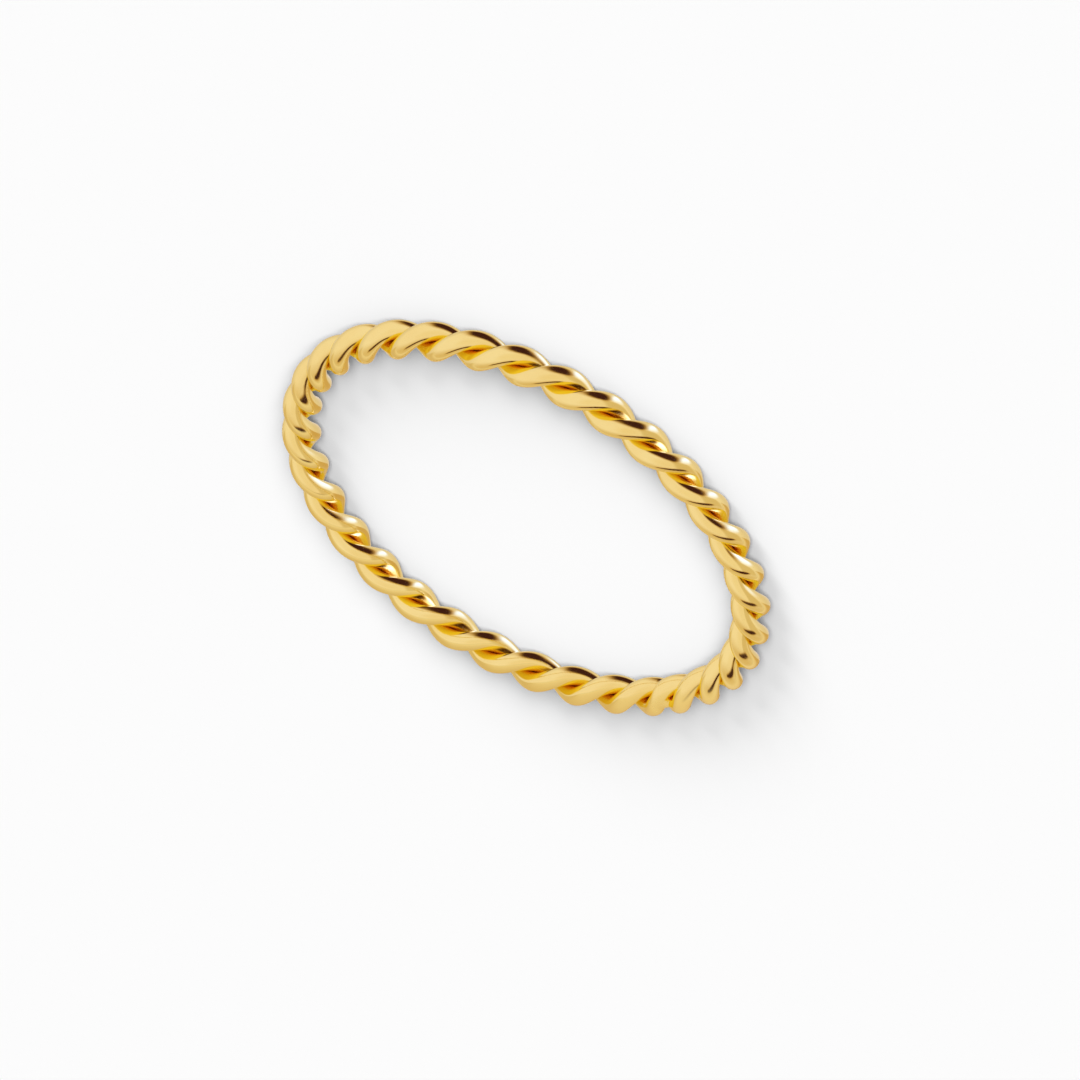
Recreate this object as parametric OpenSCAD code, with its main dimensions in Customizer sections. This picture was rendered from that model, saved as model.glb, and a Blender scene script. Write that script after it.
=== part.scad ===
// Stacking ring: two round wires twisted into a rope, bent into a hoop and soldered end to end.
// The ring lies flat. +Z is the finger's axis, and the origin is the centre of the finger hole.

/* [Ring] */
// Clear width of the finger hole, inside the humps of the wires
finger_d = 16.5; // [13:0.1:23]

/* [Twisted wires] */
// Thickness of each wire
wire_d = 0.7; // [0.5:0.05:1.2]
// Crossings seen on the way round. With an odd number, each wire ends where the other one starts
crossings = 33; // [23:2:41]
// Clear space kept between neighbouring pieces
clearance = 0.02; // [0.01:0.01:0.04]

/* [Solder joint] */
// Place of the joint on the ring, counter-clockwise from +X
joint_at = 148; // [0:1:359]
// Which way the wires lie at the joint, turned from outward towards +Z
joint_turn = 130; // [0:1:179]
// Angle by which the twist of one cut end is ahead of the other
joint_skip = 36; // [0:1:80]
// Length of the soldered stretch, along the rope
joint_l = 0.6; // [0.4:0.1:1.2]
// Length over which the solder carries one cut end into the other
seam_l = 0.4; // [0.1:0.02:0.6]
// Height of the solder between the wires, as a share of the rope's radius
solder_fill = 0.62; // [0.4:0.02:0.9]

/* [Smoothness] */
// Sides of each wire
wire_sides = 12; // [8:2:12]
// Rings of points along each wire
wire_rings = 298; // [200:1:298]
// Sides of the soldered stretch
joint_sides = 36; // [24:4:40]
// Rings of points along the soldered stretch
joint_rings = 13; // [9:2:15]

/* [Hidden] */
// The twist is left-handed: seen from the front, the wires climb from lower left to upper right
wire_r = (wire_d - clearance) / 2;
twist_r = wire_d / 2;
rope_r = twist_r + wire_r;
ring_r = finger_d / 2 + wire_d;

// Degrees of twist for each degree of the way round, outside the joint
twist_rate = (crossings * 180 - joint_skip) / 360;
// Slope of the wires against the rope's own line
slope = atan(twist_rate * twist_r / ring_r);

// Half of the joint, and where the wires stop short of it, as angles round the ring
joint_half = arc(joint_l / 2);
wire_start = joint_half + arc(clearance);
wire_end = 360 - wire_start;
// Along this much of a wire its rings of points turn from square across the wire to flush with the joint
cut_l = 3 * wire_r;

function arc(length) = length / ring_r * 180 / PI;
function smooth(x) = let (t = min(1, max(0, x))) t * t * (3 - 2 * t);

// The three directions at an angle round the ring: outward, along the rope, and up
function outward(at) = [cos(at), sin(at), 0];
function along(at) = [-sin(at), cos(at), 0];
up = [0, 0, 1];

// Direction from the rope's middle to a point of its cross-section
function spoke(at, turn) = cos(turn) * outward(at) + sin(turn) * up;

// Twist of a wire at an angle past the joint, for the first wire (0) or the second (1)
function twist(past, wire) = joint_turn + joint_skip / 2 + twist_rate * past + 180 * wire;

// One ring of points round a wire. Near the wire's ends it slides along the wire, flush with the joint
function wire_ring(past, wire) =
    let (
        at = joint_at + past,
        turn = twist(past, wire),
        out = spoke(at, turn),
        run = (ring_r + twist_r * cos(turn)) * along(at)
            + twist_r * twist_rate * (cos(turn) * up - sin(turn) * outward(at)),
        ahead = run / norm(run),
        side = cross(out, ahead),
        slide = (side * along(at)) / (ahead * along(at)),
        to_end = min(past - wire_start, wire_end - past) / arc(cut_l),
        flush = 1 - smooth(to_end)
    )
    [for (i = [0 : wire_sides - 1])
        let (a = i * 360 / wire_sides)
        ring_r * outward(at) + (twist_r + wire_r * cos(a)) * out
            + wire_r * sin(a) * (side - flush * slide * ahead)];

// Distance from the rope's middle to the edge of one sloping wire, in a cut straight across the rope
function wire_edge(off) =
    let (
        a = pow(cos(off) / wire_r, 2) + pow(sin(off) * cos(slope) / wire_r, 2),
        b = twist_r * cos(off) / pow(wire_r, 2),
        c = pow(twist_r / wire_r, 2) - 1,
        root = b * b - a * c
    )
    root > 0 && b > 0 ? (b + sqrt(root)) / a : 0;

// The same for both wires, which lie opposite each other
function rope_edge(off) = max(wire_edge(off), wire_edge(off + 180));

// Edge of the soldered rope. The solder is highest at the seam and sinks towards both ends
function joint_edge(past, turn) =
    let (
        mid = joint_turn + twist_rate * past,
        ahead = smooth(0.5 + past / arc(seam_l)),
        edge = (1 - ahead) * rope_edge(turn - mid + joint_skip / 2)
            + ahead * rope_edge(turn - mid - joint_skip / 2),
        solder = rope_r * solder_fill * (1 - 0.5 * pow(past / joint_half, 2))
    )
    max(edge, solder);

function joint_ring(past) =
    let (at = joint_at + past)
    [for (i = [0 : joint_sides - 1])
        let (turn = i * 360 / joint_sides + joint_turn + twist_rate * past)
        ring_r * outward(at) + joint_edge(past, turn) * spoke(at, turn)];

// Joins rings of points, each with the same number of sides, into one closed tube
module tube(rings) {
    sides = len(rings[0]);
    last = len(rings) - 1;
    walls = [for (k = [0 : last - 1], i = [0 : sides - 1], half = [0, 1])
        let (
            j = (i + 1) % sides,
            a = k * sides + i,
            b = k * sides + j
        )
        half == 0 ? [a, b, b + sides] : [a, b + sides, a + sides]];
    caps = [
        [for (i = [sides - 1 : -1 : 0]) i],
        [for (i = [0 : sides - 1]) last * sides + i]
    ];
    polyhedron([for (ring = rings, point = ring) point], concat(walls, caps));
}

module strand(wire) {
    color("gold")
    tube([for (k = [0 : wire_rings - 1])
        wire_ring(wire_start + (wire_end - wire_start) * k / (wire_rings - 1), wire)]);
}

module strand_a() strand(0);

module strand_b() strand(1);

module solder_joint() {
    color("goldenrod")
    tube([for (k = [0 : joint_rings - 1])
        joint_ring(joint_half * (2 * k / (joint_rings - 1) - 1))]);
}

strand_a();
strand_b();
solder_joint();
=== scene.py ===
# %% [markdown]
# # A twisted wire ring
# This lesson dresses a thin gold ring. A jeweller twists two round wires into a rope, bends the rope into a
# hoop and solders its ends together, and the cells below follow the same steps: draw the wire, twist it,
# saw the rope to length, fill the joint, and bend the straight rope round at the very end.
#
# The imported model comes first. It is a fixed frame: every new piece goes where the frame already has one.

# %% Load the frame
from math import atan, atan2, ceil, cos, degrees, hypot, pi, radians, sin, tan, tau

import bmesh
import bpy
from mathutils import Matrix, Vector


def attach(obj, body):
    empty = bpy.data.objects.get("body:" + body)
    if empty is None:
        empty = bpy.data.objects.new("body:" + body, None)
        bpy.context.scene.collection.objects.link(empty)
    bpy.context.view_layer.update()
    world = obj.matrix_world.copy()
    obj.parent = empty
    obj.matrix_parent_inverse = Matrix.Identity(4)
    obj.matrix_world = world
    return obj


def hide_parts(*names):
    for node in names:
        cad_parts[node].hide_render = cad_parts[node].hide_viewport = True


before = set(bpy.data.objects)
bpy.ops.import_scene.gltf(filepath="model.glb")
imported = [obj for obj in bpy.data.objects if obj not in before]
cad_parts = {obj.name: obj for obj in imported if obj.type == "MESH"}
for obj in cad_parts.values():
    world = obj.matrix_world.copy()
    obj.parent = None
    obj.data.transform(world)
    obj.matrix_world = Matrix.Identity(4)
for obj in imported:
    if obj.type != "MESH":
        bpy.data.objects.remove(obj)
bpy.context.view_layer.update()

print("frame nodes:", sorted(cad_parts))

# %% [markdown]
# ## The sizes that drive the ring
# Blender works in metres, and a ring is small, so sizes are written in millimetres and turned into metres
# by one factor. Everything else, such as the radius of the rope's middle line or how fast the wires turn,
# is worked out from these few values. Changing one of them changes the whole ring, as it would in a
# workshop.

# %% Name the driving sizes
MM = 0.001
finger_d = 16.5 * MM
wire_d = 0.7 * MM
crossings = 33
joint_at = radians(148)
joint_turn = radians(130)
joint_skip = radians(36)
joint_l = 0.6 * MM
seam_l = 0.4 * MM
solder_fill = 0.62

wire_r = wire_d / 2
ring_r = finger_d / 2 + wire_d
rope_l = tau * ring_r
twist_rate = (crossings * pi - joint_skip) / rope_l
slope = atan(twist_rate * wire_r)
print("rope length mm:", round(rope_l / MM, 2), " wire slope deg:", round(degrees(slope), 1))

# %% [markdown]
# ## Twisting a wire
# A wire in a rope is a helix. It could be a curve with a bevel, or a Screw modifier on a circle, but the
# spin operator does it in one call: it repeats a circle of points, turning it round the rope's line and
# pushing it along at each step. The rope is still straight here and runs along X, with Y towards the finger
# and Z up. A negative angle gives the left-handed twist of this ring. Spin slows down as a mesh grows, so
# it draws one turn only, and copies of that turn are laid end to end.

# %% Write the twist as a function of the place along the rope
steps_a_turn = 64
wire_sides = 40
same_point = wire_r / 1000


def twist_at(along, wire):
    return joint_turn + joint_skip / 2 + twist_rate * along + pi * wire


def out_of_rope(turn):
    return Vector((0, -cos(turn), sin(turn)))


def circle_across_wire(along, wire):
    turn = twist_at(along, wire)
    out = out_of_rope(turn)
    run = Vector((1, twist_rate * wire_r * sin(turn), twist_rate * wire_r * cos(turn))).normalized()
    side = run.cross(out)
    place = Matrix((out, side, run)).transposed().to_4x4()
    place.translation = Vector((along, 0, 0)) + out * wire_r
    return place


# %% Draw one turn and lay copies of it end to end
def twisted_wire(start, length, wire):
    turn_l = tau / twist_rate
    first = start - wire_r
    bm = bmesh.new()
    bmesh.ops.create_circle(bm, cap_ends=False, radius=wire_r, segments=wire_sides,
                            matrix=circle_across_wire(first, wire))
    bmesh.ops.spin(bm, geom=bm.verts[:] + bm.edges[:], cent=(0, 0, 0), axis=(1, 0, 0),
                   dvec=(turn_l / steps_a_turn, 0, 0), angle=-tau, steps=steps_a_turn)
    one_turn = bm.verts[:] + bm.edges[:] + bm.faces[:]
    for k in range(1, ceil((length + wire_d) / turn_l)):
        copy = bmesh.ops.duplicate(bm, geom=one_turn)["geom"]
        bmesh.ops.translate(bm, verts=[v for v in copy if isinstance(v, bmesh.types.BMVert)],
                            vec=(k * turn_l, 0, 0))
    bmesh.ops.remove_doubles(bm, verts=bm.verts[:], dist=same_point)
    return bm


# %% [markdown]
# ## Sawing the rope to length
# The jeweller saws straight across the rope, so both wires get a flush, slightly oval end. Bisecting the
# mesh with a plane does the same: it cuts every face that the plane meets and clears what lies beyond. The
# open loop that is left is filled with one flat face, with sharp edges round it.

# %% Cut a wire flush at both ends
on_the_cut = 1e-9


def saw(bm, along, direction):
    cut = bmesh.ops.bisect_plane(bm, geom=bm.verts[:] + bm.edges[:] + bm.faces[:], dist=on_the_cut,
                                 plane_co=(along, 0, 0), plane_no=(direction, 0, 0), clear_outer=True)
    rim = [e for e in cut["geom_cut"] if isinstance(e, bmesh.types.BMEdge)]
    made = bmesh.ops.edgeloop_fill(bm, edges=rim)
    for edge in rim:
        edge.smooth = False
    return made["faces"]


# %% [markdown]
# ## Remembering where the metal came from
# Fine marks run along a drawn wire, and they follow it round the twist. Each point therefore keeps where it
# was on the straight wire, before it was twisted, as a vector attribute. A UV map would do too, but it has
# a seam along the wire, and a vector of three lengths has none.

# %% Store each point's place on the straight wire
def remember_straight_wire(bm):
    layer = bm.verts.layers.float_vector.new("straight_wire")
    for v in bm.verts:
        turn = min((twist_at(v.co.x, wire) for wire in (0, 1)),
                   key=lambda turn: (v.co - Vector((v.co.x, 0, 0)) - out_of_rope(turn) * wire_r).length)
        out = out_of_rope(turn)
        across = v.co - Vector((v.co.x, 0, 0)) - out * wire_r
        side = Vector((0, sin(turn), cos(turn)))
        angle = atan2(across.dot(side) * cos(slope), across.dot(out))
        v[layer] = Vector((v.co.x / cos(slope), wire_r * cos(angle), wire_r * sin(angle)))


# %% [markdown]
# ## Bending the rope into a hoop
# Bending is the last step for every piece. A Simple Deform modifier can bend, but a short function is
# exact: the place along the rope becomes an angle, and the distance towards the finger shortens the radius.
#
# A bmesh remembers which way each face points, and moved points leave that memory behind. So it is updated
# before all faces are turned outwards. The printed volume is above zero only if they do point outwards.

# %% Bend a straight piece and make it an object
def bend(bm):
    for v in bm.verts:
        angle = joint_at + v.co.x / ring_r
        radius = ring_r - v.co.y
        v.co = Vector((radius * cos(angle), radius * sin(angle), v.co.z))


def make_piece(name, bm):
    bm.normal_update()
    bmesh.ops.recalc_face_normals(bm, faces=bm.faces[:])
    volume = bm.calc_volume(signed=True)
    mesh = bpy.data.meshes.new(name)
    bm.to_mesh(mesh)
    bm.free()
    piece = bpy.data.objects.new(name, mesh)
    bpy.context.scene.collection.objects.link(piece)
    print(name, "faces:", len(mesh.polygons), " volume in cubic mm:", round(volume / MM ** 3, 2))
    return piece


# %% Make both wires
wires = []
for wire, node in enumerate(("strand_a", "strand_b")):
    bm = twisted_wire(joint_l / 2, rope_l - joint_l, wire)
    ends = saw(bm, joint_l / 2, -1) + saw(bm, rope_l - joint_l / 2, 1)
    for face in bm.faces:
        face.smooth = face not in ends
    remember_straight_wire(bm)
    bend(bm)
    piece = make_piece("wire_" + node[-1], bm)
    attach(piece, "root")
    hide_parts(node)
    wires.append(piece)

# %% [markdown]
# ## The solder joint
# Where the sawn ends meet, the twist of one end is a little ahead of the other. Solder carries one shape
# into the other and fills the valleys between the wires. A voxel remesh could melt such shapes together,
# but a plain twisted cylinder whose points are moved in or out keeps exact control. So the cell spins a
# cylinder, and each point then slides to the edge of the wires or of the solder, whichever is further out.
#
# A saw that runs straight across a sloping, curving wire leaves a bean shape. Its edge has an easy formula
# for a point at some angle round the wire, but the joint needs it for an angle round the rope, so that
# angle is found by halving.

# %% Measure the edge of the joint at any place
angle_error = 1e-4
solder_sinks = 0.5


def ease(x):
    x = min(1, max(0, x))
    return x * x * (3 - 2 * x)


def wire_edge(off):
    off = abs(atan2(sin(off), cos(off)))
    low, high = 0, pi
    while high - low > angle_error:
        a = (low + high) / 2
        reached = atan2(sin(a) * cos(slope), 1 + cos(a)) + tan(slope) * sin(slope) * sin(a)
        if reached < off:
            low = a
        else:
            high = a
    return wire_r * hypot(1 + cos(low), sin(low) * cos(slope))


def rope_edge(off):
    return max(wire_edge(off), wire_edge(off + pi))


def joint_edge(along, turn):
    mid = joint_turn + twist_rate * along
    ahead = ease(0.5 + along / seam_l)
    before = rope_edge(turn - mid + joint_skip / 2)
    after = rope_edge(turn - mid - joint_skip / 2)
    edge = (1 - ahead) * before + ahead * after
    solder = wire_d * solder_fill * (1 - solder_sinks * (along / (joint_l / 2)) ** 2)
    return max(edge, solder)


# %% Fill the joint
joint_sides = 128
joint_steps = 40
soften_passes = 24
soften_factor = 0.5
soften_narrows = 0.5

bm = bmesh.new()
place = Matrix((out_of_rope(joint_turn - twist_rate * joint_l / 2), Vector((0, 0, 0)), Vector((1, 0, 0))))
place[1] = place[2].cross(place[0])
place = place.transposed().to_4x4()
place.translation = Vector((-joint_l / 2, 0, 0))
bmesh.ops.create_circle(bm, cap_ends=False, radius=wire_d, segments=joint_sides, matrix=place)
bmesh.ops.spin(bm, geom=bm.verts[:] + bm.edges[:], cent=(0, 0, 0), axis=(1, 0, 0),
               dvec=(joint_l / joint_steps, 0, 0), angle=-joint_l * twist_rate, steps=joint_steps)
for v in bm.verts:
    turn = atan2(v.co.z, -v.co.y)
    v.co = Vector((v.co.x, 0, 0)) + out_of_rope(turn) * joint_edge(v.co.x, turn)
rims = [e for e in bm.edges if e.is_boundary]
inner = [v for v in bm.verts if not v.is_boundary]
for k in range(soften_passes):
    reach = joint_l / 2 * (1 - soften_narrows * k / soften_passes)
    bmesh.ops.smooth_vert(bm, verts=[v for v in inner if abs(v.co.x) < reach], factor=soften_factor,
                          use_axis_x=False, use_axis_y=True, use_axis_z=True)
for face in bm.faces:
    face.smooth = True
bmesh.ops.holes_fill(bm, edges=rims, sides=0)
for edge in rims:
    edge.smooth = False
remember_straight_wire(bm)
bend(bm)
joint = make_piece("solder_seam", bm)
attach(joint, "root")
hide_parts("solder_joint")

# %% [markdown]
# ## Polished gold
# Gold has no colour of its own under the polish: it is a mirror that tints what it reflects. So the
# material is fully metallic, and the base colour is the tint of a straight reflection. Real polish is never
# perfect, and the nodes add what hands leave behind: slow ripples from twisting and polishing, lines from
# the drawplate along each wire, sparse hairline scratches, patches that cloths have rubbed duller, and a
# rougher skin in the valleys between the wires, where no polishing wheel reaches. The valleys also get a
# darker, deeper orange colour, which is painted shade between the wires. Solder is a little softer and
# redder than the wire, so the joint gets the same material with one addition that fades out at its ends.

# %% Write helpers for nodes
def is_number(value):
    return isinstance(value, (int, float))


def feed(tree, socket, value):
    if isinstance(value, bpy.types.NodeSocket):
        tree.links.new(value, socket)
    elif is_number(value) or len(value) == len(socket.default_value):
        socket.default_value = value
    else:
        socket.default_value = (*value, 1)


def math(tree, operation, a, b):
    node = tree.nodes.new("ShaderNodeMath")
    node.operation = operation
    feed(tree, node.inputs[0], a)
    feed(tree, node.inputs[1], b)
    return node.outputs[0]


def ramp(tree, value, low, high, to_low=0.0, to_high=1.0, smooth=False):
    node = tree.nodes.new("ShaderNodeMapRange")
    node.interpolation_type = "SMOOTHSTEP" if smooth else "LINEAR"
    for name, number in (("Value", value), ("From Min", low), ("From Max", high),
                         ("To Min", to_low), ("To Max", to_high)):
        feed(tree, node.inputs[name], number)
    return node.outputs["Result"]


def mix(tree, mask, colour, over, blend="MIX"):
    node = tree.nodes.new("ShaderNodeMix")
    node.data_type = "RGBA"
    node.blend_type = blend
    for name, value in (("Factor", mask), ("A", colour), ("B", over)):
        sockets = [i for i in node.inputs if i.name == name and i.enabled]
        feed(tree, sockets[0], value)
    return next(o for o in node.outputs if o.enabled)


def noise(tree, place, scale, turn=(0, 0, 0), detail=0.0):
    stretch = tree.nodes.new("ShaderNodeMapping")
    stretch.inputs["Rotation"].default_value = [radians(angle) for angle in turn]
    stretch.inputs["Scale"].default_value = [1 / size for size in scale]
    tree.links.new(place, stretch.inputs["Vector"])
    node = tree.nodes.new("ShaderNodeTexNoise")
    node.inputs["Scale"].default_value = 1
    node.inputs["Detail"].default_value = detail
    tree.links.new(stretch.outputs["Vector"], node.inputs["Vector"])
    return node.outputs["Fac"]


# %% Build the gold
gold_tint = (0.96, 0.73, 0.265)
rubbed_tint = (0.94, 0.69, 0.235)
# painted shade: the valleys between the wires are drawn darker and deeper orange
valley_painted_shade = (0.91, 0.64, 0.19)
solder_tint = (0.93, 0.69, 0.24)
edge_tint = (1, 0.94, 0.8)
ripple_h = 0.0015 * MM
ripple_size = (0.42 * MM, 0.3 * MM, 0.3 * MM)
line_h = 0.00015 * MM
line_size = (3 * MM, 0.05 * MM, 0.05 * MM)
scratch_h = 0.0001 * MM
scratch_size = (0.012 * MM, 0.8 * MM, 1.1 * MM)
scratch_turns = ((20, 35, 10), (70, -25, 50), (-40, 60, 115), (5, -70, 80))
scratch_noise = (0.75, 0.8)
rubbed_size = (1.1 * MM, 1.1 * MM, 1.1 * MM)
rubbed_noise = (0.35, 0.65)
valley_depth = (-0.5 * wire_r, -0.95 * wire_r)
polished_rough = 0.1
rubbed_rough = 0.145
scratch_rough = 0.06
valley_rough = 0.08
solder_rough = 0.22


def gold(name, soldered):
    material = bpy.data.materials.new(name)
    material.use_nodes = True
    tree = material.node_tree
    shader = tree.nodes["Principled BSDF"]
    shader.inputs["Metallic"].default_value = 1
    feed(tree, shader.inputs["Specular Tint"], edge_tint)
    straight = tree.nodes.new("ShaderNodeAttribute")
    straight.attribute_name = "straight_wire"
    place = tree.nodes.new("ShaderNodeTexCoord").outputs["Object"]
    split = tree.nodes.new("ShaderNodeSeparateXYZ")
    tree.links.new(straight.outputs["Vector"], split.inputs["Vector"])
    # valley: mask of the grooves between the wires, used for rougher metal and for painted shade
    valley = ramp(tree, split.outputs["Y"], *valley_depth, smooth=True)

    ripples = noise(tree, straight.outputs["Vector"], ripple_size, detail=1.0)
    lines = noise(tree, straight.outputs["Vector"], line_size, detail=2.0)
    scratches = None
    for turn in scratch_turns:
        thin = noise(tree, place, scratch_size, turn=turn)
        sharp = ramp(tree, thin, *scratch_noise)
        scratches = sharp if scratches is None else math(tree, "MAXIMUM", scratches, sharp)
    rubbed = noise(tree, place, rubbed_size, detail=3.0)

    height = math(tree, "MULTIPLY", ripples, ripple_h)
    height = math(tree, "ADD", height, math(tree, "MULTIPLY", lines, line_h))
    height = math(tree, "SUBTRACT", height, math(tree, "MULTIPLY", scratches, scratch_h))
    bump = tree.nodes.new("ShaderNodeBump")
    bump.inputs["Strength"].default_value = 1
    bump.inputs["Distance"].default_value = 1
    tree.links.new(height, bump.inputs["Height"])
    tree.links.new(bump.outputs["Normal"], shader.inputs["Normal"])

    dull = ramp(tree, rubbed, *rubbed_noise, polished_rough, rubbed_rough)
    dull = math(tree, "ADD", dull, math(tree, "MULTIPLY", scratches, scratch_rough))
    dull = math(tree, "ADD", dull, math(tree, "MULTIPLY", valley, valley_rough))
    colour = mix(tree, ramp(tree, rubbed, *rubbed_noise), gold_tint, rubbed_tint)
    # painted shade in the valleys between the wires
    colour = mix(tree, valley, colour, valley_painted_shade)
    if soldered:
        from_seam = math(tree, "ABSOLUTE", split.outputs["X"], 0)
        solder = ramp(tree, from_seam, 0, joint_l / 2 / cos(slope), 1, 0, smooth=True)
        dull = math(tree, "ADD", dull, math(tree, "MULTIPLY", solder, solder_rough))
        colour = mix(tree, solder, colour, solder_tint)
    tree.links.new(dull, shader.inputs["Roughness"])
    tree.links.new(colour, shader.inputs["Base Color"])
    return material


polished_gold = gold("polished gold", soldered=False)
solder_gold = gold("gold solder", soldered=True)
for piece in wires:
    piece.data.materials.append(polished_gold)
joint.data.materials.append(solder_gold)

# %% [markdown]
# ## The camera
# The photograph looks down at the ring from 31 degrees above its plane, through a long lens, with the
# camera rolled so that the near side of the hoop is at the upper right. The camera stands fifty ring radii
# away, and the lens follows from the size that the ring has in the picture.

# %% Place the camera
picture_px = 1080
ring_radius_px = 254.8
ring_centre_px = (524.8, 519.9)
camera_elevation = radians(31.26)
camera_roll = radians(146.68)
camera_distance = 50 * ring_r
camera_sensor = 36
nearest_seen = 0.01
farthest_seen = 10

flat_right = Vector((1, 0, 0))
flat_up = Vector((0, sin(camera_elevation), cos(camera_elevation)))
to_camera = Vector((0, -cos(camera_elevation), sin(camera_elevation)))
picture_right = cos(camera_roll) * flat_right - sin(camera_roll) * flat_up
picture_up = sin(camera_roll) * flat_right + cos(camera_roll) * flat_up

metres_a_px = ring_r / ring_radius_px
aim = (picture_px / 2 - ring_centre_px[0]) * metres_a_px * picture_right \
    - (picture_px / 2 - ring_centre_px[1]) * metres_a_px * picture_up

camera = bpy.data.objects.new("camera", bpy.data.cameras.new("camera"))
bpy.context.scene.collection.objects.link(camera)
camera.matrix_world = Matrix.Translation(aim + to_camera * camera_distance) \
    @ Matrix((picture_right, picture_up, to_camera)).transposed().to_4x4()
camera.data.sensor_width = camera_sensor
camera.data.lens = camera_sensor * camera_distance / (picture_px * metres_a_px)
camera.data.clip_start = nearest_seen
camera.data.clip_end = farthest_seen
bpy.context.scene.camera = camera
print("lens mm:", round(camera.data.lens, 1))

# %% [markdown]
# ## The floor
# The ring lies on a plain pale floor, which is a grid with a matt white surface.

# %% Lay the floor
floor_half = 0.6
paper_white = (0.88, 0.88, 0.88)

bm = bmesh.new()
bmesh.ops.create_grid(bm, x_segments=1, y_segments=1, size=floor_half,
                      matrix=Matrix.Translation((0, 0, -wire_d)))
floor_mesh = bpy.data.meshes.new("floor")
bm.to_mesh(floor_mesh)
bm.free()
floor = bpy.data.objects.new("floor", floor_mesh)
bpy.context.scene.collection.objects.link(floor)
floor.visible_glossy = False
paper = bpy.data.materials.new("white paper")
paper.use_nodes = True
matt = paper.node_tree.nodes["Principled BSDF"]
feed(paper.node_tree, matt.inputs["Base Color"], paper_white)
matt.inputs["Roughness"].default_value = 1
matt.inputs["Specular IOR Level"].default_value = 0
floor_mesh.materials.append(paper)

# %% [markdown]
# ## A studio of light and cards
# A mirror is only as good as what stands round it. Going by its reflections, the photograph was taken in a
# white tent with one black card, a dull panel at one side, one bright strip light and a thin dark gap, and
# each shows as a streak on every turn of the wire. The world shader draws them: a card is a patch of
# directions with straight edges, and each edge is a plane through the ring's middle. A wider and softer
# brown patch lies under each dark one, because in gold the edge of a dark reflection looks brown.
#
# A photograph also bleaches very bright gold to white and deepens it in the grooves, where light has met
# the metal twice. A plain render does neither. So the strip light is bluer than a real one, which the gold
# turns white, and everything seen after a second bounce is multiplied by a yellow tint.

# %% Name the cards as they are seen from the ring
# Each corner is (clock direction in the picture, degrees away from the camera).
# Clock 0 is right, and clock 90 is up.
black_card = [(94, 119), (94, 64), (63, 34), (15, 42), (20, 53), (72, 110)]
dark_gap = [(254, 87), (277, 76), (301, 75), (313, 82), (313, 90), (254, 94)]
side_panel = [(20, 34), (298, 69), (322, 114), (2, 82)]
strip_light = [(53, 126), (41, 82), (24, 64), (4, 67), (4, 84), (43, 122)]


def seen_from_ring(clock, away):
    clock, away = radians(clock), radians(away)
    return sin(away) * (cos(clock) * picture_right + sin(clock) * picture_up) + cos(away) * to_camera


# %% Turn a card into a mask of directions
world = bpy.data.worlds.new("studio")
bpy.context.scene.world = world
world.use_nodes = True
sky = world.node_tree
sky.nodes.clear()
direction = sky.nodes.new("ShaderNodeTexCoord").outputs["Generated"]


def fade_along(tree, place, vector, low, high):
    node = tree.nodes.new("ShaderNodeVectorMath")
    node.operation = "DOT_PRODUCT"
    tree.links.new(place, node.inputs[0])
    node.inputs[1].default_value = vector
    return ramp(tree, node.outputs["Value"], low, high, smooth=True)


def towards(vector, low, high):
    return fade_along(sky, direction, vector, low, high)


# An edge fades from the sine of one angle outside its plane to the sine of another inside it.
def card(corners, outside, inside):
    points = [seen_from_ring(*corner) for corner in corners]
    middle = sum(points, Vector())
    mask = None
    for here, there in zip(points, points[1:] + points[:1]):
        edge = here.cross(there).normalized()
        if edge.dot(middle) < 0:
            edge.negate()
        side = towards(edge, -outside, inside)
        mask = side if mask is None else math(sky, "MULTIPLY", mask, side)
    return mask


# %% Light the tent and hang the cards in it
tent_front = (0.95, 0.95, 1.08)
tent_warm = (0.91, 0.875, 0.87)
tent_behind = (0.79, 0.78, 0.84)
tent_low = (0.75, 0.65, 0.48)
panel_grey = (0.74, 0.66, 0.52)
groove_tint = (1.02, 1.1, 0.25)
edge_brown = (0.55, 0.34, 0.09)
card_black = (0.05, 0.017, 0.02)
strip_white = (1.2, 1.8, 5)
strip_in_grooves = (3, 5, 26)
fill_grey = (0.2, 0.2, 0.2)
backdrop_white = (0.95, 0.95, 0.95)

warm_middle = seen_from_ring(300, 25)
low_middle = seen_from_ring(262, 120)
straight_up = seen_from_ring(90, 90)
panel_soft = 0.1
strip_soft = 0.12
dark_soft = ((black_card, 0.12, 0.3), (dark_gap, 0.04, 0.12))
past_one_bounce = 1.5

# The numbers after a direction are cosines: where its colour begins, and where it is full.
path = sky.nodes.new("ShaderNodeLightPath")
second_bounce = math(sky, "GREATER_THAN", path.outputs["Glossy Depth"], past_one_bounce)
tent = mix(sky, towards(to_camera, -0.8, 0.1), tent_behind, tent_front)
tent = mix(sky, towards(warm_middle, 0.6, 1), tent, tent_warm)
tent = mix(sky, towards(low_middle, 0.3, 0.95), tent, tent_low)
tent = mix(sky, card(side_panel, panel_soft, panel_soft), tent, panel_grey)
tent = mix(sky, second_bounce, tent, groove_tint, blend="MULTIPLY")
strip_fades_down = towards(straight_up, -0.1, 0.85)
strip = mix(sky, second_bounce, strip_white, strip_in_grooves)
strip_seen = math(sky, "MULTIPLY", card(strip_light, strip_soft, strip_soft), strip_fades_down)
tent = mix(sky, strip_seen, tent, strip)
for corners, softness, halo in dark_soft:
    tent = mix(sky, card(corners, halo, 0.5 * softness), tent, edge_brown)
    tent = mix(sky, card(corners, softness, softness), tent, card_black)

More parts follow.
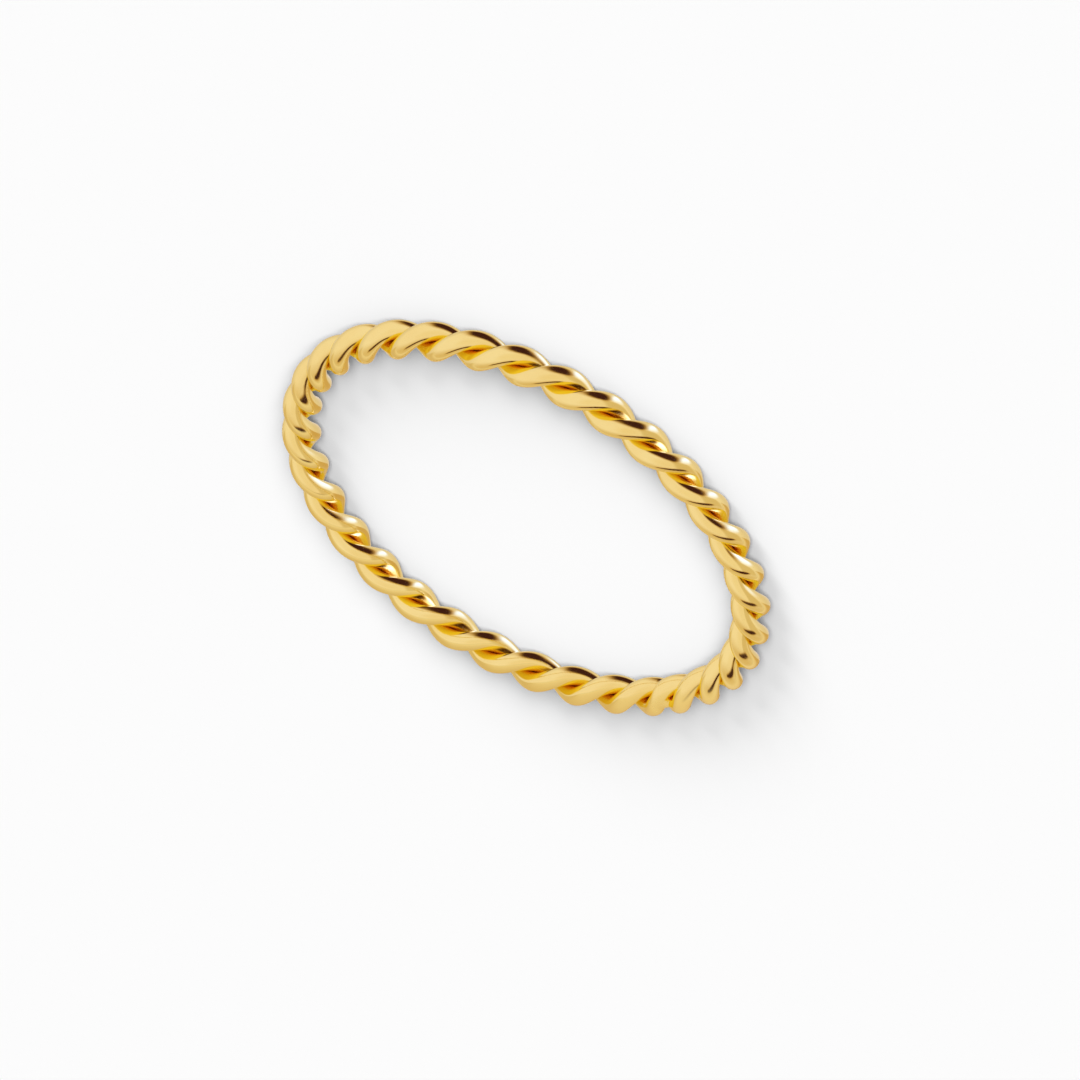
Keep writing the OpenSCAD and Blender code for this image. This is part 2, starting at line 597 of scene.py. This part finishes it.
seen_or_lit = mix(sky, path.outputs["Is Camera Ray"], fill_grey, backdrop_white)
background = sky.nodes.new("ShaderNodeBackground")
sky.links.new(mix(sky, path.outputs["Is Glossy Ray"], seen_or_lit, tent), background.inputs["Color"])
out = sky.nodes.new("ShaderNodeOutputWorld")
sky.links.new(background.outputs[0], out.inputs["Surface"])
bpy.context.scene.cycles.glossy_bounces = 12
bpy.context.scene.cycles.caustics_reflective = False

# %% [markdown]
# ## A table that only reflections see
# The surroundings above are endlessly far away, so every part of the ring sees them alike. In the
# photograph the ring seems to be propped on a white table, which hides the dark gap from the far half of
# the hoop. Here the ring lies on the floor, so a glowing card stands in for that table, close below the
# ring as the picture sees it. The card fades out at its front edge and darkens away from it, and every kind
# of ray but a reflection passes it by.

# %% Stand the table card
table_drop = 0.95 * ring_r
table_front = -0.05 * ring_r
table_fade = 0.3 * ring_r
table_deep = 1.3 * ring_r
table_turns = (-ring_r, 1.5 * ring_r)
table_half = 6 * ring_r
table_near = (0.9, 0.87, 0.82)
table_left = (0.72, 0.63, 0.47)
table_right = (0.66, 0.5, 0.26)

bm = bmesh.new()
bmesh.ops.create_grid(bm, x_segments=1, y_segments=1, size=table_half)
place = Matrix((picture_right, to_camera, -picture_up)).transposed().to_4x4()
place.translation = (table_front - table_half) * to_camera - table_drop * picture_up
bmesh.ops.transform(bm, matrix=place, verts=bm.verts[:])
table_mesh = bpy.data.meshes.new("table_card")
bm.to_mesh(table_mesh)
bm.free()
table = bpy.data.objects.new("table_card", table_mesh)
bpy.context.scene.collection.objects.link(table)
table.visible_camera = False
table.visible_diffuse = False
table.visible_shadow = False
table.visible_transmission = False

# %% Make the table card glow
glowing = bpy.data.materials.new("table glow")
glowing.use_nodes = True
glow = glowing.node_tree
glow.nodes.clear()
spot = glow.nodes.new("ShaderNodeTexCoord").outputs["Object"]
to_right = fade_along(glow, spot, picture_right, *table_turns)
to_back = fade_along(glow, spot, -to_camera, -table_front, table_deep)
colour = mix(glow, to_right, table_left, table_right)
colour = mix(glow, to_back, table_near, colour)
bounces = glow.nodes.new("ShaderNodeLightPath").outputs["Glossy Depth"]
again = math(glow, "GREATER_THAN", bounces, past_one_bounce)
colour = mix(glow, again, colour, groove_tint, blend="MULTIPLY")
light = glow.nodes.new("ShaderNodeEmission")
glow.links.new(colour, light.inputs["Color"])
edge = glow.nodes.new("ShaderNodeMixShader")
feed(glow, edge.inputs[0], fade_along(glow, spot, -to_camera, -table_front, table_fade - table_front))
glow.links.new(glow.nodes.new("ShaderNodeBsdfTransparent").outputs[0], edge.inputs[1])
glow.links.new(light.outputs[0], edge.inputs[2])
glow.links.new(edge.outputs[0], glow.nodes.new("ShaderNodeOutputMaterial").inputs["Surface"])
glowing.cycles.emission_sampling = "NONE"
table_mesh.materials.append(glowing)

# %% [markdown]
# ## Two soft lamps
# The lamps light the floor and give the ring its shadow. The stronger one shines from where the camera is,
# so its shadow hides behind the wires. The other one is lower and lets a pale shadow fall below them. Both
# are hidden from reflections, because the cards already stand for what the metal sees.

# %% Hang the lamps
def hang_lamp(name, from_here, strength, spread):
    lamp = bpy.data.objects.new(name, bpy.data.lights.new(name, "SUN"))
    bpy.context.scene.collection.objects.link(lamp)
    lamp.data.energy = strength
    lamp.data.angle = radians(spread)
    lamp.matrix_world = from_here.to_track_quat("Z", "Y").to_matrix().to_4x4()
    lamp.visible_glossy = False


hang_lamp("softbox", to_camera, strength=4.1, spread=30)
hang_lamp("low_lamp", Vector((0.6, -0.74, 0.3)), strength=2.4, spread=22)
bpy.context.scene.view_settings.view_transform = "Standard"
